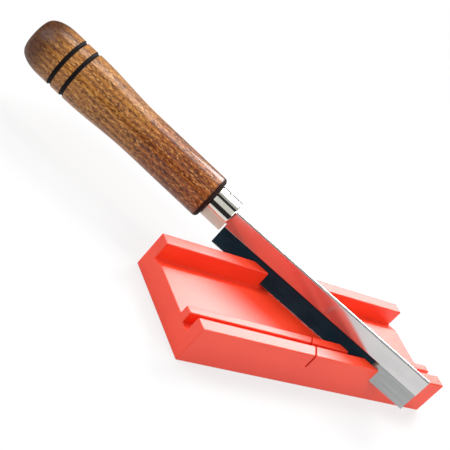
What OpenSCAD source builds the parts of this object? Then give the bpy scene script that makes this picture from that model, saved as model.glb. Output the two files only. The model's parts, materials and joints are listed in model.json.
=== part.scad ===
// Small bench mitre box with a fine-toothed backsaw lying in its 45 degree slot.
// Origin: middle of the box's underside. +X runs along the box, +Y to the back wall, +Z up.

/* [Mitre box] */
// Length of the box
box_l = 165; // [130:1:220]
// Width of the box over both walls
box_w = 56; // [50:0.5:80]
// Height of the walls above the bench
box_h = 20; // [17:0.5:22]
// Height of the floor above the bench
floor_h = 12.2; // [10:0.2:14]
// Thickness of the front wall
front_wall_t = 6.7; // [3:0.1:8]
// Thickness of the back wall
back_wall_t = 6.6; // [3:0.1:8]
// Radius on the long edges of the wall tops
wall_edge_r = 0.6; // [0.2:0.1:1.2]

/* [Strip groove and vee] */
// Width of the groove for thin strips behind the front wall
strip_groove_w = 5; // [4.4:0.1:6]
// Depth of that groove below the floor
strip_groove_d = 1.2; // [0.4:0.1:2]
// Thickness of the rib between strip groove and main channel
strip_rib_t = 4.3; // [2:0.1:5]
// Height of the rib above the floor
strip_rib_h = 4.8; // [3.5:0.1:6]
// Width of the vee for round stock at the foot of the back wall
vee_w = 6.3; // [4:0.1:10]
// Depth of the vee below the floor
vee_d = 2; // [0.5:0.1:3]

/* [Saw slots] */
// Where the slots cross, along the box from its middle
slot_x = 2.7; // [-10:0.1:10]
// Where the slots cross, towards the back wall from the box's middle
slot_y = 0.6; // [-3:0.1:3]
// Lean of the slot that the saw lies in, from square
saw_lean = 45; // [30:1:50]
// Lean of the second slot, the other way
second_lean = -30; // [-50:1:-10]
// Width of a slot
kerf = 0.95; // [0.8:0.05:1.5]
// Depth of the saw's slot below the floor, so that the saw cuts right through the work
kerf_d = 0.3; // [0.2:0.1:1]

/* [Underside] */
// Width of the solid rim around the cored underside
rim_t = 5; // [3:0.5:8]
// Thickness of the ribs between the cores
core_rib_t = 4; // [2:0.5:8]
// Depth of the cores
core_d = 5; // [2:0.5:6]
// Number of cores along the box
cores_x = 8; // [4:2:10]
// Number of cores across the box
cores_y = 2; // [2:2:4]

/* [Saw blade and back] */
// Length of the blade
blade_l = 121; // [90:1:150]
// Thickness of the blade
blade_t = 0.5; // [0.3:0.05:0.6]
// Depth of the blade below its back
blade_drop = 10.8; // [9:0.1:16]
// Gap between the tooth tips and the bottom of the slot that the saw lies in
blade_rest_gap = 0.3; // [0.1:0.1:1]
// Depth that the blade goes up into its back
blade_grip = 7.5; // [4:0.5:8]
// Pitch of the teeth
tooth_pitch = 1; // [0.7:0.1:2]
// Depth of the teeth
tooth_d = 0.6; // [0.3:0.1:0.8]
// Lean of a tooth's cutting face from square
tooth_rake = 26; // [0:1:30]
// Height of the back
back_h = 10.2; // [9:0.1:14]
// Thickness of the back
back_t = 2; // [1.8:0.1:3]

/* [Tang] */
// Height of the tang and of the handle's axis above the lower edge of the back
axis_h = 5.7; // [5:0.1:6.5]
// Length of the socket of the back inside the ferrule
socket_l = 10; // [8:0.5:14]
// Height of the socket
socket_h = 7.6; // [6:0.2:8.6]
// Thickness of the tang
tang_t = 1; // [0.8:0.1:1.2]
// Height of the tang at its root
tang_h = 6; // [4:0.2:7]
// Height of the tang at its tip
tang_tip_h = 2.4; // [1:0.2:4]
// Length of the tang
tang_l = 52; // [35:1:70]
// Diameter of the tang's rivets
rivet_d = 2; // [1.2:0.1:2.6]
// Place of the front rivet behind the ferrule's front end
rivet_h = 2.5; // [2:0.1:3]
// Spacing of the two rivets
rivet_step = 4.5; // [3.5:0.1:5]

/* [Ferrule] */
// Outer diameter of the ferrule
ferrule_d = 17; // [15:0.2:20]
// Wall of the ferrule
ferrule_t = 0.8; // [0.5:0.1:1.5]
// Length of the ferrule
ferrule_l = 12; // [10:0.5:18]
// Gap between the blade's heel and the ferrule
heel_gap = 0.8; // [0.3:0.1:2]
// Shank diameter of the ferrule's brad
pin_d = 1.2; // [0.8:0.1:1.6]
// Length of the brad's shank
pin_l = 3; // [2:0.5:3.5]
// Head diameter of the brad
pin_head_d = 2.4; // [1.8:0.1:3]
// Height of the brad's head
pin_head_h = 0.3; // [0.2:0.1:0.8]
// Place of the brad behind the ferrule's front end
pin_h = 7; // [4:0.5:8]
// Turn of the brad from straight up, towards the front of the saw
pin_turn = 0; // [0:5:60]

/* [Handle] */
// Length of the handle behind the ferrule
handle_l = 113; // [95:1:140]
// Diameter of the handle behind the ferrule
handle_front_d = 23.2; // [20.4:0.2:26]
// Diameter of the swell near the butt
handle_swell_d = 27; // [24:0.2:32]
// Diameter of the flat of the butt
butt_d = 15.5; // [12:0.5:22]
// Length over which the butt rounds off
butt_l = 12.5; // [4:0.5:14]
// Height of the butt's dome
butt_dome = 0.8; // [0.2:0.1:3]
// Rounding of the handle's front end
nose_r = 2.4; // [1:0.1:3]
// Where the waist ends, behind the ferrule
waist_end = 44; // [30:1:60]
// Where the swell is full, behind the ferrule
swell_start = 83; // [66:1:83]
// Distance of the outer decorative groove from the butt
groove_from_butt = 20.5; // [14:0.5:21]
// Spacing of the two decorative grooves
groove_step = 7.6; // [4:0.2:10]
// Width of a decorative groove
groove_w = 2.2; // [1:0.1:3]
// Depth of a decorative groove
groove_d = 0.7; // [0.3:0.1:1]
// Upward cant of the handle from the line of the blade
handle_cant = 1.9; // [0:0.1:4]

/* [Fits] */
// Gap all round a pin or rivet in its hole
pin_fit = 0.05; // [0.02:0.01:0.15]
// Gap between the ferrule and the wood
neck_fit = 0.1; // [0.05:0.05:0.3]
// Gap between the tang and its mortise
mortise_fit = 0.4; // [0.3:0.1:0.6]

/* [Hidden] */
$fn = 64;
eps = 0.01;

// Faces of the box
front_out = -box_w / 2;
front_in = front_out + front_wall_t;
rib_front = front_in + strip_groove_w;
rib_back = rib_front + strip_rib_t;
back_out = box_w / 2;
back_in = back_out - back_wall_t;

// Levels of the saw as it lies in its slot
teeth_z = floor_h - kerf_d + blade_rest_gap;
back_z = teeth_z + blade_drop;
back_top_z = back_z + back_h;
axis_z = back_z + axis_h;

// Stations along the saw, from the middle of the blade
heel = -blade_l / 2;
toe = blade_l / 2;
ferrule_front = heel - heel_gap;

// Rounds of the wood, from the ferrule's front end along the handle
neck_r = ferrule_d / 2 - ferrule_t - neck_fit;
butt_end = ferrule_l + handle_l - butt_dome;

// Stations of the two rivets along the saw
rivet_places = [ferrule_front - rivet_h, ferrule_front - rivet_h - rivet_step];

// Points on the curves of the handle's outline: degrees per point on its rounds, steps on its swell and dome
round_step = 15;
swell_steps = 12;
dome_steps = 4;

// Frame of the saw: +X to the toe, +Y away from the front of the saw, +Z up
module saw_frame() {
    translate([slot_x, slot_y, 0]) rotate([0, 0, saw_lean - 90]) children();
}

// Frame of the handle: +Z from the ferrule's front end to the butt, +X up
module handle_frame() {
    saw_frame() translate([ferrule_front, 0, axis_z]) rotate([0, handle_cant - 90, 0]) children();
}

// A bar of the box's cross-section, with both long edges of its top rounded
module rounded_top(y0, y1, z1, r) {
    translate([y0, 0]) square([y1 - y0, z1 - r]);
    translate([y0 + r, 0]) square([y1 - y0 - 2 * r, z1]);
    for (y = [y0 + r, y1 - r]) translate([y, z1 - r]) circle(r);
}

// Cross-section of the box, drawn in Y and Z
module box_section() {
    difference() {
        translate([front_out, 0]) square([box_w, floor_h]);
        translate([front_in, floor_h - strip_groove_d]) square([strip_groove_w, box_h]);
        polygon([[back_in, floor_h - vee_d], [back_in, floor_h + eps],
            [back_in - vee_w * (1 + eps / vee_d), floor_h + eps]]);
    }
    rounded_top(front_out, front_in, box_h, wall_edge_r);
    rounded_top(back_in, back_out, box_h, wall_edge_r);
    rounded_top(rib_front, rib_back, floor_h + strip_rib_h, wall_edge_r);
}

// The cut that one slot makes through both walls and the rib, down to a depth below the floor
module slot_cut(lean, depth) {
    translate([slot_x, slot_y, floor_h - depth]) rotate([0, 0, lean - 90])
        translate([-box_l, -kerf / 2, 0]) cube([2 * box_l, kerf, box_h]);
}

// Cores in the underside, with ribs between them that cross at the middle
module cores() {
    step_x = (box_l - 2 * rim_t + core_rib_t) / cores_x;
    step_y = (box_w - 2 * rim_t + core_rib_t) / cores_y;
    for (i = [0 : cores_x - 1], j = [0 : cores_y - 1])
        translate([-box_l / 2 + rim_t + i * step_x, front_out + rim_t + j * step_y, -eps])
            cube([step_x - core_rib_t, step_y - core_rib_t, core_d + eps]);
}

// One plastic moulding: floor, two walls, strip rib, slots and a cored underside
module mitre_box() {
    color([0.86, 0.12, 0.07]) difference() {
        translate([-box_l / 2, 0, 0]) rotate([90, 0, 90]) linear_extrude(box_l) box_section();
        slot_cut(saw_lean, kerf_d);
        slot_cut(second_lean, 0);
        cores();
    }
}

// Roots and tips of the teeth from heel to toe, each tip leaning towards the toe
function teeth() = let(
    count = floor(blade_l / tooth_pitch),
    start = heel + (blade_l - count * tooth_pitch) / 2,
    tip_x = tooth_pitch - tooth_d * tan(tooth_rake))
    [for (i = [0 : count - 1], tip = [0, 1])
        [start + i * tooth_pitch + tip * tip_x, teeth_z + (1 - tip) * tooth_d]];

// Hardened strip, toothed along its lower edge and let into the back
module saw_blade() {
    color([0.09, 0.11, 0.15]) saw_frame() rotate([90, 0, 0]) linear_extrude(blade_t, center = true)
        polygon(concat([[heel, back_z + blade_grip], [heel, teeth_z + tooth_d]], teeth(),
            [[toe, teeth_z + tooth_d], [toe, back_z + blade_grip]]));
}

// Stiffening back over the blade's upper edge, with a slit socket at the heel for the tang
module saw_back() {
    color([0.78, 0.78, 0.79]) saw_frame() difference() {
        union() {
            translate([heel, 0, 0]) rotate([90, 0, 90]) linear_extrude(blade_l) difference() {
                translate([0, back_z]) rounded_top(-back_t / 2, back_t / 2, back_h, back_t / 2 - eps);
                translate([-blade_t / 2, back_z - eps]) square([blade_t, blade_grip + eps]);
            }
            translate([ferrule_front - socket_l, -back_t / 2, axis_z - socket_h / 2])
                cube([socket_l + heel_gap + eps, back_t, socket_h]);
        }
        translate([ferrule_front - socket_l - eps, -tang_t / 2 - pin_fit, axis_z - socket_h])
            cube([socket_l + eps, tang_t + 2 * pin_fit, 2 * socket_h]);
        for (x = rivet_places) translate([x, 0, axis_z]) rotate([90, 0, 0])
            cylinder(h = 2 * back_t, d = rivet_d + 2 * pin_fit, center = true);
    }
}

// Flat tapered tang, riveted into the socket and driven into the handle
module tang() {
    color([0.55, 0.55, 0.56]) difference() {
        handle_frame() rotate([90, 0, 0]) linear_extrude(tang_t, center = true)
            polygon([[-tang_h / 2, mortise_fit], [tang_h / 2, mortise_fit], [tang_h / 2, socket_l],
                [tang_tip_h / 2, tang_l], [-tang_tip_h / 2, tang_l], [-tang_h / 2, socket_l]]);
        saw_frame() for (x = rivet_places) translate([x, 0, axis_z]) rotate([90, 0, 0])
            cylinder(h = 2 * back_t, d = rivet_d + 2 * pin_fit, center = true);
    }
}

// Two rivets through socket and tang, filed flush
module tang_rivets() {
    color([0.6, 0.6, 0.6]) saw_frame() for (x = rivet_places) translate([x, 0, axis_z]) rotate([90, 0, 0])
        cylinder(h = back_t, d = rivet_d, center = true);
}

// The hole that the brad makes, grown by a fit
module brad_hole(fit) {
    rotate([0, 0, -pin_turn]) translate([ferrule_d / 2 - pin_l - fit, 0, pin_h]) rotate([0, 90, 0])
        cylinder(h = pin_l + ferrule_t, d = pin_d + 2 * fit);
}

// Drawn ring over the neck of the handle, with its outer edges eased
module ferrule() {
    ease = ferrule_t / 2;
    inner = ferrule_d / 2 - ferrule_t;
    outer = ferrule_d / 2;
    color([0.83, 0.83, 0.84]) handle_frame() difference() {
        rotate_extrude() polygon([[inner, 0], [outer - ease, 0], [outer, ease], [outer, ferrule_l - ease],
            [outer - ease, ferrule_l], [inner, ferrule_l]]);
        brad_hole(pin_fit);
    }
}

// Brad through the ferrule into the wood
module ferrule_pin() {
    color([0.3, 0.3, 0.3]) handle_frame() rotate([0, 0, -pin_turn]) translate([ferrule_d / 2, 0, pin_h])
        rotate([0, 90, 0]) {
            cylinder(h = pin_head_h, d = pin_head_d);
            translate([0, 0, -pin_l]) cylinder(h = pin_l + eps, d = pin_d);
        }
}

// Radius of the turned handle: a waist behind the ferrule that swells towards the butt
function ease(t) = t <= 0 ? 0 : t >= 1 ? 1 : (1 - cos(180 * t)) / 2;
function handle_r(h) = (handle_front_d + (handle_swell_d - handle_front_d)
    * ease((h - ferrule_l - waist_end) / (swell_start - waist_end))) / 2;

// Half outline of the handle in radius and length
function handle_outline() = let(
    front_r = handle_front_d / 2, swell_r = handle_swell_d / 2, butt_r = butt_d / 2,
    body_end = butt_end - butt_l)
    concat([[0, neck_fit], [neck_r, neck_fit], [neck_r, ferrule_l + neck_fit]],
        [for (a = [0 : round_step : 90])
            [front_r - nose_r + nose_r * sin(a), ferrule_l + neck_fit + nose_r - nose_r * cos(a)]],
        [for (i = [0 : swell_steps])
            let(h = ferrule_l + waist_end + i / swell_steps * (swell_start - waist_end)) [handle_r(h), h]],
        [for (a = [0 : round_step : 90]) [butt_r + (swell_r - butt_r) * cos(a), body_end + butt_l * sin(a)]],
        [for (i = [1 : dome_steps]) let(t = 1 - i / dome_steps) [butt_r * t, butt_end + butt_dome * (1 - t * t)]]);

// Turned hardwood handle with two burnt grooves, mortised for socket and tang
module handle() {
    groove_r = (pow(groove_w / 2, 2) + pow(groove_d, 2)) / (2 * groove_d);
    color([0.45, 0.25, 0.12]) difference() {
        handle_frame() rotate_extrude() difference() {
            polygon(handle_outline());
            for (i = [0, 1])
                translate([handle_swell_d / 2 - groove_d + groove_r,
                    ferrule_l + handle_l - groove_from_butt - i * groove_step]) circle(groove_r);
        }
        handle_frame() translate([-tang_h / 2 - mortise_fit, -tang_t / 2 - mortise_fit, -eps])
            cube([tang_h + 2 * mortise_fit, tang_t + 2 * mortise_fit, tang_l + mortise_fit]);
        saw_frame() translate([ferrule_front - socket_l - mortise_fit, -back_t / 2 - mortise_fit,
            axis_z - socket_h / 2 - mortise_fit])
            cube([socket_l + 2 * mortise_fit, back_t + 2 * mortise_fit, socket_h + 2 * mortise_fit]);
        handle_frame() brad_hole(pin_fit);
    }
}

mitre_box();
saw_blade();
saw_back();
tang();
tang_rivets();
ferrule();
ferrule_pin();
handle();
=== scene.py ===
import json
import math

import bmesh
import bpy
from mathutils import Matrix, Vector


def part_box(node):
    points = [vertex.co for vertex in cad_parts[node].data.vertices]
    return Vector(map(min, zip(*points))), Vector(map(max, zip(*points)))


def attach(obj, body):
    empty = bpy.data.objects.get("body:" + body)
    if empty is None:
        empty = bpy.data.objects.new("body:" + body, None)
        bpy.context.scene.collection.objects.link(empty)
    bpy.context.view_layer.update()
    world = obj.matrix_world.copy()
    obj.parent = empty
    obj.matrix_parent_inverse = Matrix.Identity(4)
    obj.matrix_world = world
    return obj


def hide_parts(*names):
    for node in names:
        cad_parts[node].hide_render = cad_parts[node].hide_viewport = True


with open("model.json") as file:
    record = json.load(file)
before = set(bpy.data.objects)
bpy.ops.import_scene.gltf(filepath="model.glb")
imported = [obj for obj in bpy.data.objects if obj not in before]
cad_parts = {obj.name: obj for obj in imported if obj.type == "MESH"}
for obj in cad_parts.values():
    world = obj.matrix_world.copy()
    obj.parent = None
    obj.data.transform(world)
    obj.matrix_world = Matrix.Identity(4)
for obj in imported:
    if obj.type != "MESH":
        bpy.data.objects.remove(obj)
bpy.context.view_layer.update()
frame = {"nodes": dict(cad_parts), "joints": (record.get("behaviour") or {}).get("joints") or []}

# Mitre box: one injection moulding in red plastic with a soft gloss. It has a floor, two walls, a rib for
# thin strips and a vee for round stock, and it stands loose on the bench. Its thick floor is cored out from
# below, and two leaning saw slots go down through both walls and the rib.
mm = 0.001
box_low, box_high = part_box("mitre_box")
floor_z = 12.2 * mm
front_wall_t = 6.7 * mm
back_wall_t = 6.6 * mm
strip_groove_w = 5.0 * mm
strip_groove_d = 1.2 * mm
rib_t = 4.3 * mm
rib_h = 4.8 * mm
rib_round = 0.6 * mm
vee_w = 6.3 * mm
vee_d = 2.0 * mm
wall_round = 0.6 * mm
foot_round = 0.5 * mm
groove_round = 1.6 * mm
corner_round = 0.15 * mm
box_end_round = 0.5 * mm
slot_w = 0.95 * mm
slot_depths = (0.3 * mm, -0.02 * mm)
slot_round = 0.14 * mm
second_slot_lean = math.radians(-30)
core_rim = 5.0 * mm
core_rib = 4.0 * mm
core_d = 5.0 * mm
core_columns = 8
core_rows = 2
core_corner = 1.5 * mm
core_draft = 0.2 * mm

saw_axis = Vector(frame["joints"][0]["axis"])
blade_low, blade_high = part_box("saw_blade")
saw_middle = (blade_low + blade_high) / 2
slot_crossing = Matrix.Translation((saw_middle.x, saw_middle.y, 0))
saw_place = slot_crossing @ Matrix.Rotation(math.atan2(saw_axis.y, saw_axis.x), 4, "Z")
slot_places = [saw_place, slot_crossing @ Matrix.Rotation(second_slot_lean - math.pi / 2, 4, "Z")]


class Wire:
    """A socket of a node tree: sums on it add Math nodes, and make() adds any other node."""

    def __init__(self, tree, socket=None):
        self.tree = tree
        self.socket = socket

    def make(self, kind, settings, sockets, out=0):
        """Adds a node, sets it up, fills or links its sockets, and gives the wire of one output."""
        node = self.tree.nodes.new(kind)
        for name, value in settings.items():
            setattr(node, name, value)
        for key, value in sockets.items():
            if isinstance(value, Wire):
                self.tree.links.new(value.socket, node.inputs[key])
            else:
                node.inputs[key].default_value = value
        return Wire(self.tree, node.outputs[out] if node.outputs else None)

    def beside(self, out):
        """Another output of the same node."""
        return Wire(self.tree, self.socket.node.outputs[out])

    def math(self, operation, *values):
        return self.make("ShaderNodeMath", {"operation": operation}, dict(enumerate(values)))

    def __add__(self, other):
        return self.math("ADD", self, other)

    def __radd__(self, other):
        return self.math("ADD", other, self)

    def __sub__(self, other):
        return self.math("SUBTRACT", self, other)

    def __rsub__(self, other):
        return self.math("SUBTRACT", other, self)

    def __mul__(self, other):
        return self.math("MULTIPLY", self, other)

    def __rmul__(self, other):
        return self.math("MULTIPLY", other, self)

    def __truediv__(self, other):
        return self.math("DIVIDE", self, other)

    def __abs__(self):
        return self.math("ABSOLUTE", self)

    def __floor__(self):
        return self.math("FLOOR", self)

    def rise(self, low, high):
        """Goes smoothly from 0 at low to 1 at high."""
        return self.make("ShaderNodeMapRange", {"interpolation_type": "SMOOTHSTEP"},
            {"Value": self, "From Min": low, "From Max": high})

    def noise(self, scale, detail=2.0):
        """Smooth noise on this vector, from 0 to 1, with about scale features per unit."""
        return self.make("ShaderNodeTexNoise", {}, {"Vector": self, "Scale": scale, "Detail": detail})

    def blend(self, low, high):
        """The colour low where this wire is 0, and high where it is 1."""
        return self.make("ShaderNodeMix", {"data_type": "RGBA"}, {0: self, 6: low, 7: high}, 2)

    def stretched(self, x, y, z):
        """This vector with each of its parts scaled, so that noise on it runs in streaks."""
        return self.make("ShaderNodeVectorMath", {"operation": "MULTIPLY"}, {0: self, 1: (x, y, z)})

    def parts(self):
        """The three numbers of this vector."""
        split = self.make("ShaderNodeSeparateXYZ", {}, {0: self})
        return split, split.beside(1), split.beside(2)

    def bump(self, height, strength=0.5):
        """The surface's normal where this wire raises it by up to that height."""
        return self.make("ShaderNodeBump", {}, {"Height": self, "Distance": height, "Strength": strength})


def new_finish(name, place=Matrix()):
    """A new material, and the coordinates of a piece's surface seen from a place on the object."""
    finish = bpy.data.materials.new(name)
    finish.use_nodes = True
    finish.node_tree.nodes.clear()
    where = Wire(finish.node_tree).make("ShaderNodeTexCoord", {}, {}, "Object")
    turned_to_place = where.make("ShaderNodeMapping", {"vector_type": "TEXTURE"},
        {"Vector": where, "Location": place.translation, "Rotation": place.to_euler()})
    return finish, turned_to_place


def end_finish(where, **sockets):
    """Ends a material in one Principled shader; an underscore stands for a space in a socket's name."""
    named = {key.replace("_", " "): value for key, value in sockets.items()}
    shader = where.make("ShaderNodeBsdfPrincipled", {}, named)
    where.make("ShaderNodeOutputMaterial", {}, {"Surface": shader})


def rounded_outline(corners, steps=5):
    """Points of a closed outline whose corners (a, b, radius) are arcs."""
    points = []
    for i, (a, b, radius) in enumerate(corners):
        corner = Vector((a, b))
        before = (Vector(corners[i - 1][:2]) - corner).normalized()
        after = (Vector(corners[(i + 1) % len(corners)][:2]) - corner).normalized()
        half = before.angle(after) / 2
        middle = corner + (before + after).normalized() * (radius / math.sin(half))
        first = corner + before * (radius / math.tan(half)) - middle
        last = corner + after * (radius / math.tan(half)) - middle
        start = math.atan2(first.y, first.x)
        turn = (math.atan2(last.y, last.x) - start + math.pi) % math.tau - math.pi
        for step in range(steps + 1):
            angle = start + turn * step / steps
            points.append(middle + radius * Vector((math.cos(angle), math.sin(angle))))
    return points


def loft(rings):
    """A closed form through rings of equally many points, and the edges of its two flat ends."""
    form = bmesh.new()
    loops = [[form.verts.new(point) for point in ring] for ring in rings]
    for lower, upper in zip(loops, loops[1:]):
        for i in range(len(lower)):
            form.faces.new((lower[i - 1], lower[i], upper[i], upper[i - 1]))
    ends = [form.faces.new(loops[0]), form.faces.new(loops[-1])]
    bmesh.ops.recalc_face_normals(form, faces=form.faces)
    return form, [edge for end in ends for edge in end.edges]


def soften(form, edges, radius, segments=3):
    """Rounds edges of a form."""
    bmesh.ops.bevel(form, geom=edges, offset=radius, segments=segments, profile=0.5, affect="EDGES",
        clamp_overlap=False)


def as_piece(name, form, place=Matrix()):
    """Makes a form into an object of the scene, with its place in its mesh."""
    form.transform(place)
    mesh = bpy.data.meshes.new(name)
    form.to_mesh(mesh)
    form.free()
    piece = bpy.data.objects.new(name, mesh)
    bpy.context.scene.collection.objects.link(piece)
    return piece


def settle(piece):
    """Turns what a piece's modifiers make of it into its plain mesh."""
    made = piece.evaluated_get(bpy.context.evaluated_depsgraph_get())
    mesh = bpy.data.meshes.new_from_object(made)
    piece.modifiers.clear()
    piece.data = mesh


def work(piece, operation, tools):
    """Takes tool shapes out of a piece, or adds them to it, and removes the tools."""
    for tool in tools:
        step = piece.modifiers.new("work", "BOOLEAN")
        step.operation = operation
        step.solver = "EXACT"
        step.object = tool
    settle(piece)
    for tool in tools:
        bpy.data.objects.remove(tool)


def dress(piece, finish, sharp=35):
    """Gives a piece its material and smooth shading that keeps flat faces flat."""
    piece.data.materials.clear()
    piece.data.materials.append(finish)
    piece.data.shade_smooth()
    piece.data.set_sharp_from_angle(angle=math.radians(sharp))
    even = piece.modifiers.new("even", "WEIGHTED_NORMAL")
    even.keep_sharp = True
    settle(piece)


def grow(name, build, sizes):
    """Makes a piece with a Geometry Nodes tree whose named inputs are the given sizes."""
    kinds = {float: "NodeSocketFloat", int: "NodeSocketInt", bpy.types.Object: "NodeSocketObject",
        bpy.types.Material: "NodeSocketMaterial"}
    tree = bpy.data.node_groups.new(name, "GeometryNodeTree")
    keys = {}
    for label, value in sizes.items():
        socket = tree.interface.new_socket(label, in_out="INPUT", socket_type=kinds[type(value)])
        keys[label] = socket.identifier
    tree.interface.new_socket("Geometry", in_out="OUTPUT", socket_type="NodeSocketGeometry")
    entry = tree.nodes.new("NodeGroupInput")
    wires = {label: Wire(tree, entry.outputs[label]) for label in sizes}
    mesh = build(Wire(tree), wires)
    whole = mesh.make("GeometryNodeRealizeInstances", {}, {"Geometry": mesh})
    painted = mesh.make("GeometryNodeSetMaterial", {}, {"Geometry": whole, "Material": wires["Finish"]})
    mesh.make("NodeGroupOutput", {}, {"Geometry": painted})
    piece = as_piece(name, bmesh.new())
    modifier = piece.modifiers.new(name, "NODES")
    modifier.node_group = tree
    for label, value in sizes.items():
        modifier[keys[label]] = value
    settle(piece)
    return piece


def make_red_plastic():
    """Moulded red with a soft gloss, faint flow marks, fine lengthwise scuffs and rubbed slot mouths."""
    rub_start = 0.4 * mm
    rub_end = 1.2 * mm
    rub_above_floor = 3 * mm
    finish, where = new_finish("red_plastic")
    x, y, z = where.parts()
    rubbed = 0.0
    for place in slot_places:
        across = place.to_3x3() @ Vector((0, 1, 0))
        away = abs((x - saw_middle.x) * across.x + (y - saw_middle.y) * across.y)
        high_up = z.rise(floor_z + rub_above_floor, box_high.z)
        rubbed = (1.0 - away.rise(rub_start, rub_end)) * high_up + rubbed
    scuffs = where.stretched(0.05, 1.0, 1.0).noise(1400.0, 3.0)
    flow = where.stretched(0.5, 1.0, 1.0).noise(45.0, 3.0)
    colour = flow.rise(0.3, 0.7).blend((0.80, 0.034, 0.005, 1), (0.85, 0.044, 0.007, 1))
    worn = (rubbed * scuffs.rise(0.35, 0.75) * 0.3).blend(colour, (0.95, 0.20, 0.13, 1))
    peel = where.noise(900.0, 1.0)
    end_finish(where, Base_Color=worn, Roughness=0.40 + flow * 0.06 + rubbed * 0.06,
        IOR=1.60, Normal=(peel + scuffs * 0.1).bump(0.004 * mm))
    return finish


def core_blocks(start, size):
    """Blocks in even rows and columns, where the moulding is hollowed from below."""
    points = start.make("GeometryNodeMeshGrid", {}, {
        "Size X": size["Step along"] * (size["Columns"] - 1), "Vertices X": size["Columns"],
        "Size Y": size["Step across"] * (size["Rows"] - 1), "Vertices Y": size["Rows"]})
    block = start.make("GeometryNodeObjectInfo", {}, {"Object": size["Block"]}, "Geometry")
    return start.make("GeometryNodeInstanceOnPoints", {}, {"Points": points, "Instance": block})


front_y = box_low.y + front_wall_t
rib_front_y = front_y + strip_groove_w
rib_back_y = rib_front_y + rib_t
back_y = box_high.y - back_wall_t
box_section = rounded_outline([
    (box_low.y, box_low.z, foot_round),
    (box_low.y, box_high.z, wall_round),
    (front_y, box_high.z, wall_round),
    (front_y, floor_z - strip_groove_d, groove_round),
    (rib_front_y, floor_z - strip_groove_d, foot_round),
    (rib_front_y, floor_z + rib_h, rib_round),
    (rib_back_y, floor_z + rib_h, rib_round),
    (rib_back_y, floor_z, foot_round),
    (back_y - vee_w, floor_z, foot_round),
    (back_y, floor_z - vee_d, corner_round),
    (back_y, box_high.z, wall_round),
    (box_high.y, box_high.z, wall_round),
    (box_high.y, box_low.z, foot_round),
])
moulding_form, moulding_ends = loft([[(x, y, z) for y, z in box_section] for x in (box_low.x, box_high.x)])
soften(moulding_form, moulding_ends, box_end_round)
red_moulding = as_piece("red_moulding", moulding_form)
red_plastic = make_red_plastic()

core_step_x = (box_high.x - box_low.x - 2 * core_rim + core_rib) / core_columns
core_step_y = (box_high.y - box_low.y - 2 * core_rim + core_rib) / core_rows
core_half_x = (core_step_x - core_rib) / 2
core_half_y = (core_step_y - core_rib) / 2
core_rings = []
for z, inset in ((-core_d, 0), (0, 0), (core_d, core_draft)):
    plan = [(sx * (core_half_x - inset), sy * (core_half_y - inset), core_corner)
        for sx, sy in ((-1, -1), (1, -1), (1, 1), (-1, 1))]
    core_rings.append([(a, b, z) for a, b in rounded_outline(plan)])
core_block = as_piece("core_block", loft(core_rings)[0])
cores = grow("cores", core_blocks, {
    "Columns": core_columns, "Rows": core_rows, "Step along": core_step_x, "Step across": core_step_y,
    "Block": core_block, "Finish": red_plastic})
bpy.data.objects.remove(core_block)

slot_tools = []
slot_reach = box_high.x - box_low.x
for place, depth in zip(slot_places, slot_depths):
    slot_end = floor_z - depth
    walls = [(-slot_w / 2, slot_end), (slot_w / 2, slot_end), (slot_w / 2, box_high.z * 2),
        (-slot_w / 2, box_high.z * 2)]
    slot_form = loft([[(x, y, z) for y, z in walls] for x in (-slot_reach / 2, slot_reach / 2)])[0]
    slot_tools.append(as_piece("slot_tool", slot_form, place))
work(red_moulding, "DIFFERENCE", [cores, *slot_tools])

cut_form = bmesh.new()
cut_form.from_mesh(red_moulding.data)
slot_mouths = []
touch = 0.001 * mm
for place in slot_places:
    to_slot = place.inverted()
    for edge in cut_form.edges:
        ends = [to_slot @ corner.co for corner in edge.verts]
        on_side = all(abs(abs(end.y) - slot_w / 2) < touch for end in ends)
        if on_side and sum(end.z for end in ends) / 2 > floor_z + slot_round:
            slot_mouths.append(edge)
soften(cut_form, slot_mouths, slot_round, 2)
cut_form.to_mesh(red_moulding.data)
cut_form.free()
dress(red_moulding, red_plastic)
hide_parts("mitre_box")
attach(red_moulding, "box")

# Saw blade: a thin strip of hardened spring steel, blued dark, with fine teeth filed along its lower edge
# and set a hair to either side. Its toe past the front wall is painted grey steel, a painted reflection of
# the pale table outside the box. It is pinched in the folded back.
blade_t = 0.5 * mm
tooth_pitch = 1.0 * mm
tooth_d = 0.6 * mm
tooth_rake = math.radians(26)
tooth_set = 0.06 * mm
blade_l = ((blade_high.x - blade_low.x) - blade_t * abs(saw_axis.y)) / abs(saw_axis.x)
# Where the painted grey toe begins and ends along the blade: painted reflection of the table outside the
# box.
painted_toe_from = 35.5 * mm
painted_toe_to = 38.5 * mm


def make_blued_steel():
    """Blue-black steel with drawn streaks, a straw edge, then a grey toe painted as the table's reflection.
    """
    edge_wander = 4 * mm
    toe_edge_end = (painted_toe_from + painted_toe_to) / 2
    finish, where = new_finish("blued_steel", saw_place)
    along, _, height = where.parts()
    streaks = where.stretched(0.03, 1.0, 1.0).noise(2600.0, 3.0)
    clouds = where.noise(90.0, 3.0)
    depth = (streaks * 0.5 + clouds * 0.5).rise(0.3, 0.7)
    blued = depth.blend((0.003, 0.020, 0.034, 1), (0.009, 0.042, 0.062, 1))
    # Past the front wall the blade turns grey and metallic: painted reflection of the pale table outside
    # the box.
    edge = along + (clouds - 0.5) * edge_wander
    toe_edge_tint = edge.rise(painted_toe_from, toe_edge_end).blend(blued, (0.16, 0.12, 0.08, 1))
    painted_toe_grey = streaks.rise(0.25, 0.75).blend((0.33, 0.34, 0.34, 1), (0.44, 0.45, 0.45, 1))
    toe = edge.rise(toe_edge_end, painted_toe_to)
    filed = 1.0 - height.rise(blade_low.z + tooth_d * 0.3, blade_low.z + tooth_d)
    bright = toe.math("MAXIMUM", toe, filed * 0.8)
    end_finish(where, Base_Color=bright.blend(toe_edge_tint, painted_toe_grey), Metallic=bright, Specular_IOR_Level=0.1,
        Roughness=0.40 - bright * 0.06 + streaks * 0.12, Normal=streaks.bump(0.01 * mm, 0.3))
    return finish


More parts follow.
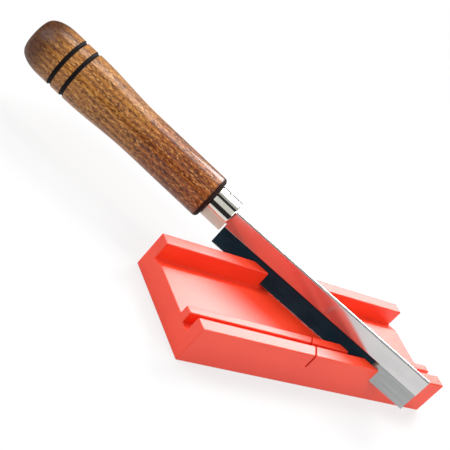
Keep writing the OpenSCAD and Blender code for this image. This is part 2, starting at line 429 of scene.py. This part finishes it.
def toothed_strip(start, size):
    """A sheet with a straight upper edge and raked, set teeth along its lower edge."""
    columns = size["Teeth"] * 2 + 1
    sheet = start.make("GeometryNodeMeshGrid", {}, {"Vertices X": columns, "Vertices Y": 2})
    index = start.make("GeometryNodeInputIndex", {}, {})
    column = math.floor(index / 2)
    upper = index - column * 2
    tooth = math.floor(column / 2)
    tip = column - tooth * 2
    side = 1 - 2 * (tooth - 2 * math.floor(tooth / 2))
    spot = start.make("ShaderNodeCombineXYZ", {}, {
        "X": (tooth - size["Teeth"] / 2) * size["Pitch"] + tip * size["Tip place"],
        "Y": (1 - upper) * tip * side * size["Set"],
        "Z": upper * size["Height"] + (1 - upper) * (1 - tip) * size["Depth"]})
    return start.make("GeometryNodeSetPosition", {}, {"Geometry": sheet, "Position": spot})


blued_steel = make_blued_steel()
toothed_blade = grow("toothed_blade", toothed_strip, {
    "Teeth": round(blade_l / tooth_pitch), "Pitch": tooth_pitch, "Depth": tooth_d, "Set": tooth_set,
    "Tip place": tooth_pitch - tooth_d * math.tan(tooth_rake), "Height": blade_high.z - blade_low.z,
    "Finish": blued_steel})
thick = toothed_blade.modifiers.new("thick", "SOLIDIFY")
thick.thickness = blade_t
thick.offset = 0
settle(toothed_blade)
toothed_blade.data.transform(saw_place @ Matrix.Translation((0, 0, blade_low.z)))
dress(toothed_blade, blued_steel)
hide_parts("saw_blade")
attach(toothed_blade, "saw")

# Saw back: a strip of bright steel folded over the blade's upper edge and polished along its length.
# Behind the heel it goes on as a flat socket, which the ferrule hides and the tang is riveted into.
back_t = 2.0 * mm
back_low, back_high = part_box("saw_back")
back_grip = blade_high.z - back_low.z
back_lip = 0.35 * mm
fold_round = back_t * 0.48
slit_lip = 0.2 * mm
slit_fit = 0.01 * mm
slit_half = blade_t / 2 + slit_fit
back_end_round = 0.15 * mm
heel = -blade_l / 2
socket_h = 7.6 * mm
socket_l = 10.0 * mm
heel_gap = 0.8 * mm
axis_above_back = 5.7 * mm
axis_z = back_low.z + axis_above_back
ferrule_front = heel - heel_gap


def make_polished_steel():
    """Bright steel, polished lengthwise, with faint smears."""
    finish, where = new_finish("polished_steel", saw_place)
    lines = where.stretched(0.02, 1.0, 1.0).noise(3200.0, 3.0)
    smears = where.stretched(0.4, 1.0, 1.0).noise(120.0, 4.0)
    colour = smears.rise(0.3, 0.7).blend((0.57, 0.56, 0.56, 1), (0.63, 0.62, 0.62, 1))
    end_finish(where, Base_Color=colour, Metallic=0.9, Roughness=0.10 + smears * 0.05 + lines * 0.05,
        Normal=lines.bump(0.004 * mm, 0.3))
    return finish


back_section = rounded_outline([
    (-back_t / 2, back_low.z, back_lip),
    (-back_t / 2, back_high.z, fold_round),
    (back_t / 2, back_high.z, fold_round),
    (back_t / 2, back_low.z, back_lip),
    (slit_half, back_low.z, slit_lip),
    (slit_half, back_low.z + back_grip, slit_half / 2),
    (-slit_half, back_low.z + back_grip, slit_half / 2),
    (-slit_half, back_low.z, slit_lip),
], 8)
back_form, back_ends = loft([[(x, y, z) for y, z in back_section] for x in (heel, -heel)])
soften(back_form, back_ends, back_end_round)
folded_back = as_piece("folded_back", back_form, saw_place)
socket_section = rounded_outline([(sy * back_t / 2, axis_z + sz * socket_h / 2, back_end_round)
    for sy, sz in ((-1, -1), (1, -1), (1, 1), (-1, 1))])
socket_form = loft([[(x, y, z) for y, z in socket_section]
    for x in (ferrule_front - socket_l, heel + back_end_round * 2)])[0]
work(folded_back, "UNION", [as_piece("socket", socket_form, saw_place)])
dress(folded_back, make_polished_steel())
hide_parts("saw_back")
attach(folded_back, "saw")

# Tang and its rivets: a forged flat of plain steel that is riveted into the socket and driven into the
# handle. Nothing of it shows on the finished saw, so the solids stay as they are.


def make_raw_steel():
    """Plain forged steel with scale marks."""
    finish, where = new_finish("raw_steel", saw_place)
    scale_marks = where.noise(350.0, 5.0)
    colour = scale_marks.rise(0.3, 0.7).blend((0.22, 0.215, 0.21, 1), (0.46, 0.46, 0.47, 1))
    end_finish(where, Base_Color=colour, Metallic=1.0, Roughness=0.40 + scale_marks * 0.2,
        Normal=scale_marks.bump(0.05 * mm))
    return finish


raw_steel = make_raw_steel()
for node in ("tang", "tang_rivets"):
    frame["nodes"][node].data.materials.clear()
    frame["nodes"][node].data.materials.append(raw_steel)

# Ferrule: a drawn steel ring, nickel plated, pressed over the neck of the handle so that the wood
# can't split when the tang is driven in. Both its edges are rolled round.
ferrule_d = 17.0 * mm
ferrule_t = 0.8 * mm
ferrule_l = 12.0 * mm
handle_cant = math.radians(1.9)
handle_place = saw_place @ Matrix.Translation((ferrule_front, 0, axis_z)) @ Matrix.Rotation(
    handle_cant - math.pi / 2, 4, "Y")


def turn_on_lathe(profile, closed, sides):
    """A form turned about Z from a profile of (radius, height); a closed profile makes a ring."""
    merge_below = 0.0005 * mm
    form = bmesh.new()
    points = [form.verts.new((radius, 0, height)) for radius, height in profile]
    lines = [form.edges.new(pair) for pair in zip(points, points[1:])]
    if closed:
        lines.append(form.edges.new((points[-1], points[0])))
    bmesh.ops.spin(form, geom=points + lines, cent=(0, 0, 0), axis=(0, 0, 1), angle=math.tau, steps=sides,
        use_merge=True)
    bmesh.ops.remove_doubles(form, verts=form.verts, dist=merge_below)
    bmesh.ops.recalc_face_normals(form, faces=form.faces)
    return form


def make_nickel():
    """Bright nickel with faint turning lines, and a dull beige lower half that is a painted table
    reflection.
    """
    painted_reflection_below = -0.4 * mm
    bright_above = 0.7 * mm
    border_wander = 1 * mm
    finish, where = new_finish("plated_ferrule", handle_place)
    up, _, _ = where.parts()
    lines = where.stretched(0.05, 0.05, 1.0).noise(5000.0, 2.0)
    haze = where.noise(250.0, 4.0)
    # The lower half is painted dull beige and less metallic: a painted reflection of the pale table under
    # the ring.
    painted_reflection = 1.0 - (up + (haze - 0.5) * border_wander).rise(painted_reflection_below, bright_above)
    bright = haze.rise(0.3, 0.7).blend((0.65, 0.625, 0.55, 1), (0.72, 0.70, 0.63, 1))
    colour = painted_reflection.blend(bright, (0.64, 0.66, 0.55, 1))
    end_finish(where, Base_Color=colour, Metallic=1.0 - painted_reflection * 0.8,
        Roughness=0.05 + haze * 0.04 + painted_reflection * 0.25, Normal=lines.bump(0.004 * mm, 0.25))
    return finish


ferrule_inner = ferrule_d / 2 - ferrule_t
outer_roll = ferrule_t * 0.6
inner_roll = ferrule_t * 0.25
ferrule_section = rounded_outline([
    (ferrule_inner, 0, inner_roll),
    (ferrule_d / 2, 0, outer_roll),
    (ferrule_d / 2, ferrule_l, outer_roll),
    (ferrule_inner, ferrule_l, inner_roll),
], 6)
nickel_ferrule = as_piece("nickel_ferrule", turn_on_lathe(ferrule_section, True, 128), handle_place)
dress(nickel_ferrule, make_nickel())
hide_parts("ferrule")
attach(nickel_ferrule, "saw")

# Ferrule brad: a small cut nail of dark steel, driven through the ferrule into the wood so that the
# ring stays on. Its head stands just proud of the plating.
brad_d = 1.2 * mm
brad_l = 3.0 * mm
brad_head_d = 2.4 * mm
brad_head_h = 0.3 * mm
brad_h = 7.0 * mm
brad_place = handle_place @ Matrix.Translation((ferrule_d / 2, 0, brad_h)) @ Matrix.Rotation(
    math.pi / 2, 4, "Y")


def make_dark_steel():
    """Oxidised nail steel, rubbed a little brighter on its crown."""
    finish, where = new_finish("dark_steel", brad_place)
    _, _, height = where.parts()
    stain = where.noise(2200.0, 4.0)
    crown = height.rise(brad_head_h * 0.6, brad_head_h)
    colour = (crown * 0.5 + stain * 0.3).blend((0.03, 0.028, 0.026, 1), (0.30, 0.29, 0.28, 1))
    end_finish(where, Base_Color=colour, Metallic=1.0, Roughness=0.55 - crown * 0.15,
        Normal=stain.bump(0.02 * mm))
    return finish


crown_steps = 8
crown_share = 0.7
brad_profile = [(0, -brad_l), (brad_d / 2, -brad_l + brad_d / 2), (brad_d / 2, 0), (brad_head_d / 2, 0)]
for i in range(crown_steps + 1):
    crown_turn = math.pi / 2 * i / crown_steps
    crown_h = brad_head_h * (1 - crown_share + crown_share * math.sin(crown_turn))
    brad_profile.append((brad_head_d / 2 * math.cos(crown_turn), crown_h))
ferrule_brad = as_piece("ferrule_brad", turn_on_lathe(brad_profile, False, 32), brad_place)
dress(ferrule_brad, make_dark_steel())
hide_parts("ferrule_pin")
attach(ferrule_brad, "saw")

# Handle: hardwood turned on a lathe, stained brown and varnished, with two grooves burnt black by a wire
# near the butt. It is bored for the tang, and its front shoulder and butt have drunk more of the stain.
handle_l = 112.93 * mm
front_r = 11.6 * mm
swell_r = 13.48 * mm
butt_r = 7.75 * mm
butt_l = 12.5 * mm
butt_dome = 0.8 * mm
nose_r = 2.4 * mm
waist_end = 44.0 * mm
swell_start = 83.0 * mm
groove_from_butt = 20.5 * mm
groove_step = 7.6 * mm
groove_w = 2.2 * mm
groove_d = 0.7 * mm
neck_fit = 0.1 * mm
mortise_fit = 0.4 * mm
tang_t = 1.0 * mm
tang_h = 6.0 * mm
tang_l = 52.0 * mm
shoulder_h = ferrule_l + neck_fit
butt_h = ferrule_l + handle_l
groove_heights = [butt_h - groove_from_butt - groove_step, butt_h - groove_from_butt]


def make_stained_wood():
    """Stained beech: streaks and short flecks along the grain, dark ends and two burnt grooves."""
    pith_off = 26 * mm
    ring_step = 2.6 * mm
    golden_from = shoulder_h + 15 * mm
    golden_to = shoulder_h + 70 * mm
    butt_stain_from = butt_h - 20 * mm
    butt_stain_to = butt_h - 5 * mm
    finish, where = new_finish("stained_wood", handle_place)
    across, aside, height = where.parts()
    bend = where.stretched(1.0, 1.0, 0.25).noise(45.0, 2.0)
    off_pith = across - pith_off
    pith_square = off_pith * off_pith + aside * aside
    ring_count = pith_square.math("SQRT", pith_square) / ring_step + bend * 2.5
    rings = ring_count.math("SINE", ring_count * math.tau) * 0.5 + 0.5
    streaks = where.stretched(1.0, 1.0, 0.05).noise(620.0, 3.0)
    patches = where.stretched(1.0, 1.0, 0.5).noise(70.0, 3.0)
    flecks = where.stretched(1.0, 1.0, 0.35).noise(1500.0, 2.0)
    golden = (height.rise(golden_from, golden_to) + patches - 0.5).rise(0.1, 0.9)
    shade = golden.blend((0.12, 0.024, 0.004, 1), (0.165, 0.049, 0.007, 1))
    tint = golden.blend((0.34, 0.094, 0.015, 1), (0.42, 0.168, 0.031, 1))
    ground = (rings * 0.25 + streaks * 0.45 + patches * 0.45).rise(0.3, 0.8).blend(shade, tint)
    light = (flecks.rise(0.56, 0.70) * 0.75).blend(ground, (0.66, 0.35, 0.10, 1))
    dark_flecks = 1.0 - flecks.rise(0.34, 0.47)
    flecked = (dark_flecks * 0.9).blend(light, (0.04, 0.010, 0.004, 1))
    butt_stain = height.rise(butt_stain_from, butt_stain_to)
    stained = (butt_stain * 0.85).blend(flecked, (0.045, 0.012, 0.006, 1))
    shoulder_stain = 1.0 - height.rise(shoulder_h + nose_r * 0.7, shoulder_h + nose_r * 1.05)
    burn = 0.0
    for groove_height in groove_heights:
        burn = (1.0 - abs(height - groove_height).rise(groove_w * 0.42, groove_w * 0.62)) + burn
    black = burn.math("MAXIMUM", burn, shoulder_stain * 0.95)
    end_finish(where, Base_Color=black.blend(stained, (0.003, 0.001, 0.001, 1)),
        Roughness=0.50 + dark_flecks * 0.12 + black * 0.25, Specular_IOR_Level=0.2,
        Coat_Weight=(0.42 - butt_stain * 0.3) * (1.0 - black), Coat_Roughness=0.07,
        Normal=(flecks + streaks * 0.6).bump(0.03 * mm))
    return finish


def handle_radius(height):
    """Radius of the handle: a slim waist that swells towards the butt."""
    share = min(max((height - ferrule_l - waist_end) / (swell_start - waist_end), 0), 1)
    return front_r + (swell_r - front_r) * (1 - math.cos(math.pi * share)) / 2


body_steps = 48
nose_steps = 10
groove_steps = 10
butt_steps = 14
dome_steps = 6
neck_r = ferrule_inner - neck_fit
handle_profile = [(0, neck_fit), (neck_r, neck_fit), (neck_r, shoulder_h)]
for i in range(nose_steps + 1):
    nose_turn = math.pi / 2 * i / nose_steps
    handle_profile.append((front_r - nose_r + nose_r * math.sin(nose_turn),
        shoulder_h + nose_r - nose_r * math.cos(nose_turn)))
for i in range(body_steps + 1):
    body_height = ferrule_l + waist_end + (swell_start - waist_end) * i / body_steps
    handle_profile.append((handle_radius(body_height), body_height))
for groove_height in groove_heights:
    for i in range(groove_steps + 1):
        offset = groove_w * (i / groove_steps - 0.5)
        groove_cut = groove_d * (1 - (2 * offset / groove_w) ** 2)
        handle_profile.append((swell_r - groove_cut, groove_height + offset))
for i in range(butt_steps + 1):
    butt_turn = math.pi / 2 * i / butt_steps
    handle_profile.append((butt_r + (swell_r - butt_r) * math.cos(butt_turn),
        butt_h - butt_dome - butt_l * (1 - math.sin(butt_turn))))
for i in range(1, dome_steps + 1):
    dome_share = 1 - i / dome_steps
    handle_profile.append((butt_r * dome_share, butt_h - butt_dome * dome_share ** 2))
turned_handle = as_piece("turned_handle", turn_on_lathe(handle_profile, False, 144), handle_place)


def square_bore(half_up, half_aside, start, end):
    """A rectangular bore along the handle's axis."""
    corners = [(su * half_up, sa * half_aside) for su, sa in ((-1, -1), (1, -1), (1, 1), (-1, 1))]
    bore_form = loft([[(a, b, h) for a, b in corners] for h in (start, end)])[0]
    return as_piece("bore", bore_form, handle_place)


tang_bore = square_bore(tang_h / 2 + mortise_fit, tang_t / 2 + mortise_fit, -neck_fit, tang_l + mortise_fit)
socket_bore = square_bore(socket_h / 2 + 2 * mortise_fit, back_t / 2 + mortise_fit, -neck_fit,
    socket_l + mortise_fit)
work(turned_handle, "DIFFERENCE", [tang_bore, socket_bore])
dress(turned_handle, make_stained_wood(), 50)
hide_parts("handle")
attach(turned_handle, "saw")

# Studio: a wide pale table that runs white in the picture and keeps a soft shadow. The sky is dark, with
# two bright bands over the saw. Soft lamps hang behind the object, above it and at both its front sides.
table_half = 6.0
table_drop = 0.05 * mm
glow_start = 0.15
glow_end = 0.7
glow_share = 0.3
table_form = bmesh.new()
bmesh.ops.create_grid(table_form, x_segments=4, y_segments=4, size=table_half)
table = as_piece("table", table_form, Matrix.Translation((0, 0, -table_drop)))
pale = bpy.data.materials.new("pale_table")
pale.use_nodes = True
pale.node_tree.nodes.clear()
rays = Wire(pale.node_tree).make("ShaderNodeLightPath", {}, {}, "Is Camera Ray")
seen = rays.math("MAXIMUM", rays, rays.beside("Is Glossy Ray"))
seen = seen.math("MAXIMUM", seen, rays.beside("Is Transmission Ray"))
paper = rays.make("ShaderNodeBsdfDiffuse", {}, {"Color": (0.66, 0.66, 0.66, 1)})
white = rays.make("ShaderNodeEmission", {}, {"Color": (1, 1, 1, 1), "Strength": 1.0})
table_x, table_y, _ = rays.make("ShaderNodeTexCoord", {}, {}, "Object").parts()
off_square = table_x * table_x + table_y * table_y
off_middle = off_square.math("SQRT", off_square)
glow = off_middle.rise(glow_start, glow_end) * glow_share + (1 - glow_share)
mixed = rays.make("ShaderNodeMixShader", {}, {0: seen * glow, 1: paper, 2: white})
rays.make("ShaderNodeOutputMaterial", {}, {"Surface": mixed})
table.data.materials.append(pale)

world = bpy.data.worlds.new("studio")
world.use_nodes = True
world.node_tree.nodes.clear()
bpy.context.scene.world = world
sky = Wire(world.node_tree).make("ShaderNodeTexCoord", {}, {}, "Generated")
sky_x, sky_y, sky_z = sky.parts()
saw_front = saw_place.to_3x3() @ Vector((0, -1, 0))
over = sky.math("ARCTAN2", sky_z, sky_x * saw_front.x + sky_y * saw_front.y)
band_edge = 2
bands = 0.0
for band_start, band_end, band_level in ((31, 65, 0.85), (83, 120, 0.55)):
    starts = over.rise(math.radians(band_start - band_edge), math.radians(band_start + band_edge))
    ends = over.rise(math.radians(band_end - band_edge), math.radians(band_end + band_edge))
    bands = (starts - ends) * band_level + bands
air = bands.blend((0.03, 0.03, 0.03, 1), (1.0, 1.0, 1.0, 1))
air = sky.make("ShaderNodeLightPath", {}, {}, "Is Camera Ray").blend(air, (1.0, 1.0, 1.0, 1))
sky.make("ShaderNodeOutputWorld", {}, {"Surface": sky.make("ShaderNodeBackground", {}, {"Color": air})})


def hang_lamp(name, place, width, depth, level):
    """A soft rectangular lamp that looks at the object; level is its brightness where white is 1."""
    watts_per_level = 4
    light = bpy.data.lights.new(name, "AREA")
    light.shape = "RECTANGLE"
    light.size = width
    light.size_y = depth
    light.energy = watts_per_level * level * width * depth
    lamp = bpy.data.objects.new(name, light)
    lamp.location = place
    lamp.rotation_euler = (-Vector(place)).to_track_quat("-Z", "Y").to_euler()
    lamp.visible_camera = False
    bpy.context.scene.collection.objects.link(lamp)


hang_lamp("back_lamp", (0.727, 0.550, 0.743), 0.44, 0.60, 13.0)
hang_lamp("top_lamp", (0.09, 0.46, 1.12), 0.6, 0.5, 4.2)
hang_lamp("right_lamp", (0.38, -0.89, 0.72), 0.8, 0.8, 2.8)
hang_lamp("left_lamp", (-0.89, 0.38, 0.72), 0.8, 0.8, 2.9)

# Camera: a long lens above the left front corner of the box, rolled so that the saw runs down the
# picture from upper left to lower right.
view_azimuth = math.radians(-45.97)
view_elevation = math.radians(25.33)
view_roll = math.radians(41.98)
view_distance = 0.5315
aim_right = -0.0589
aim_up = 0.0217
lens_px = 1105
picture_px = 450
backward = Vector((math.sin(view_azimuth) * math.cos(view_elevation),
    -math.cos(view_azimuth) * math.cos(view_elevation), math.sin(view_elevation)))
level_right = Vector((math.cos(view_azimuth), math.sin(view_azimuth), 0))
level_up = backward.cross(level_right)
eye = backward * view_distance + level_right * aim_right + level_up * aim_up + Vector((0, saw_middle.y, 0))
lens = bpy.data.cameras.new("camera")
lens.sensor_width = 36
lens.lens = lens.sensor_width * lens_px / picture_px
lens.clip_start = 0.01
camera = bpy.data.objects.new("camera", lens)
turned_frame = Matrix((level_right, level_up, backward)).transposed().to_4x4()
camera.matrix_world = Matrix.Translation(eye) @ turned_frame @ Matrix.Rotation(view_roll, 4, "Z")
bpy.context.scene.collection.objects.link(camera)
bpy.context.scene.camera = camera
bpy.context.scene.view_settings.view_transform = "Standard"
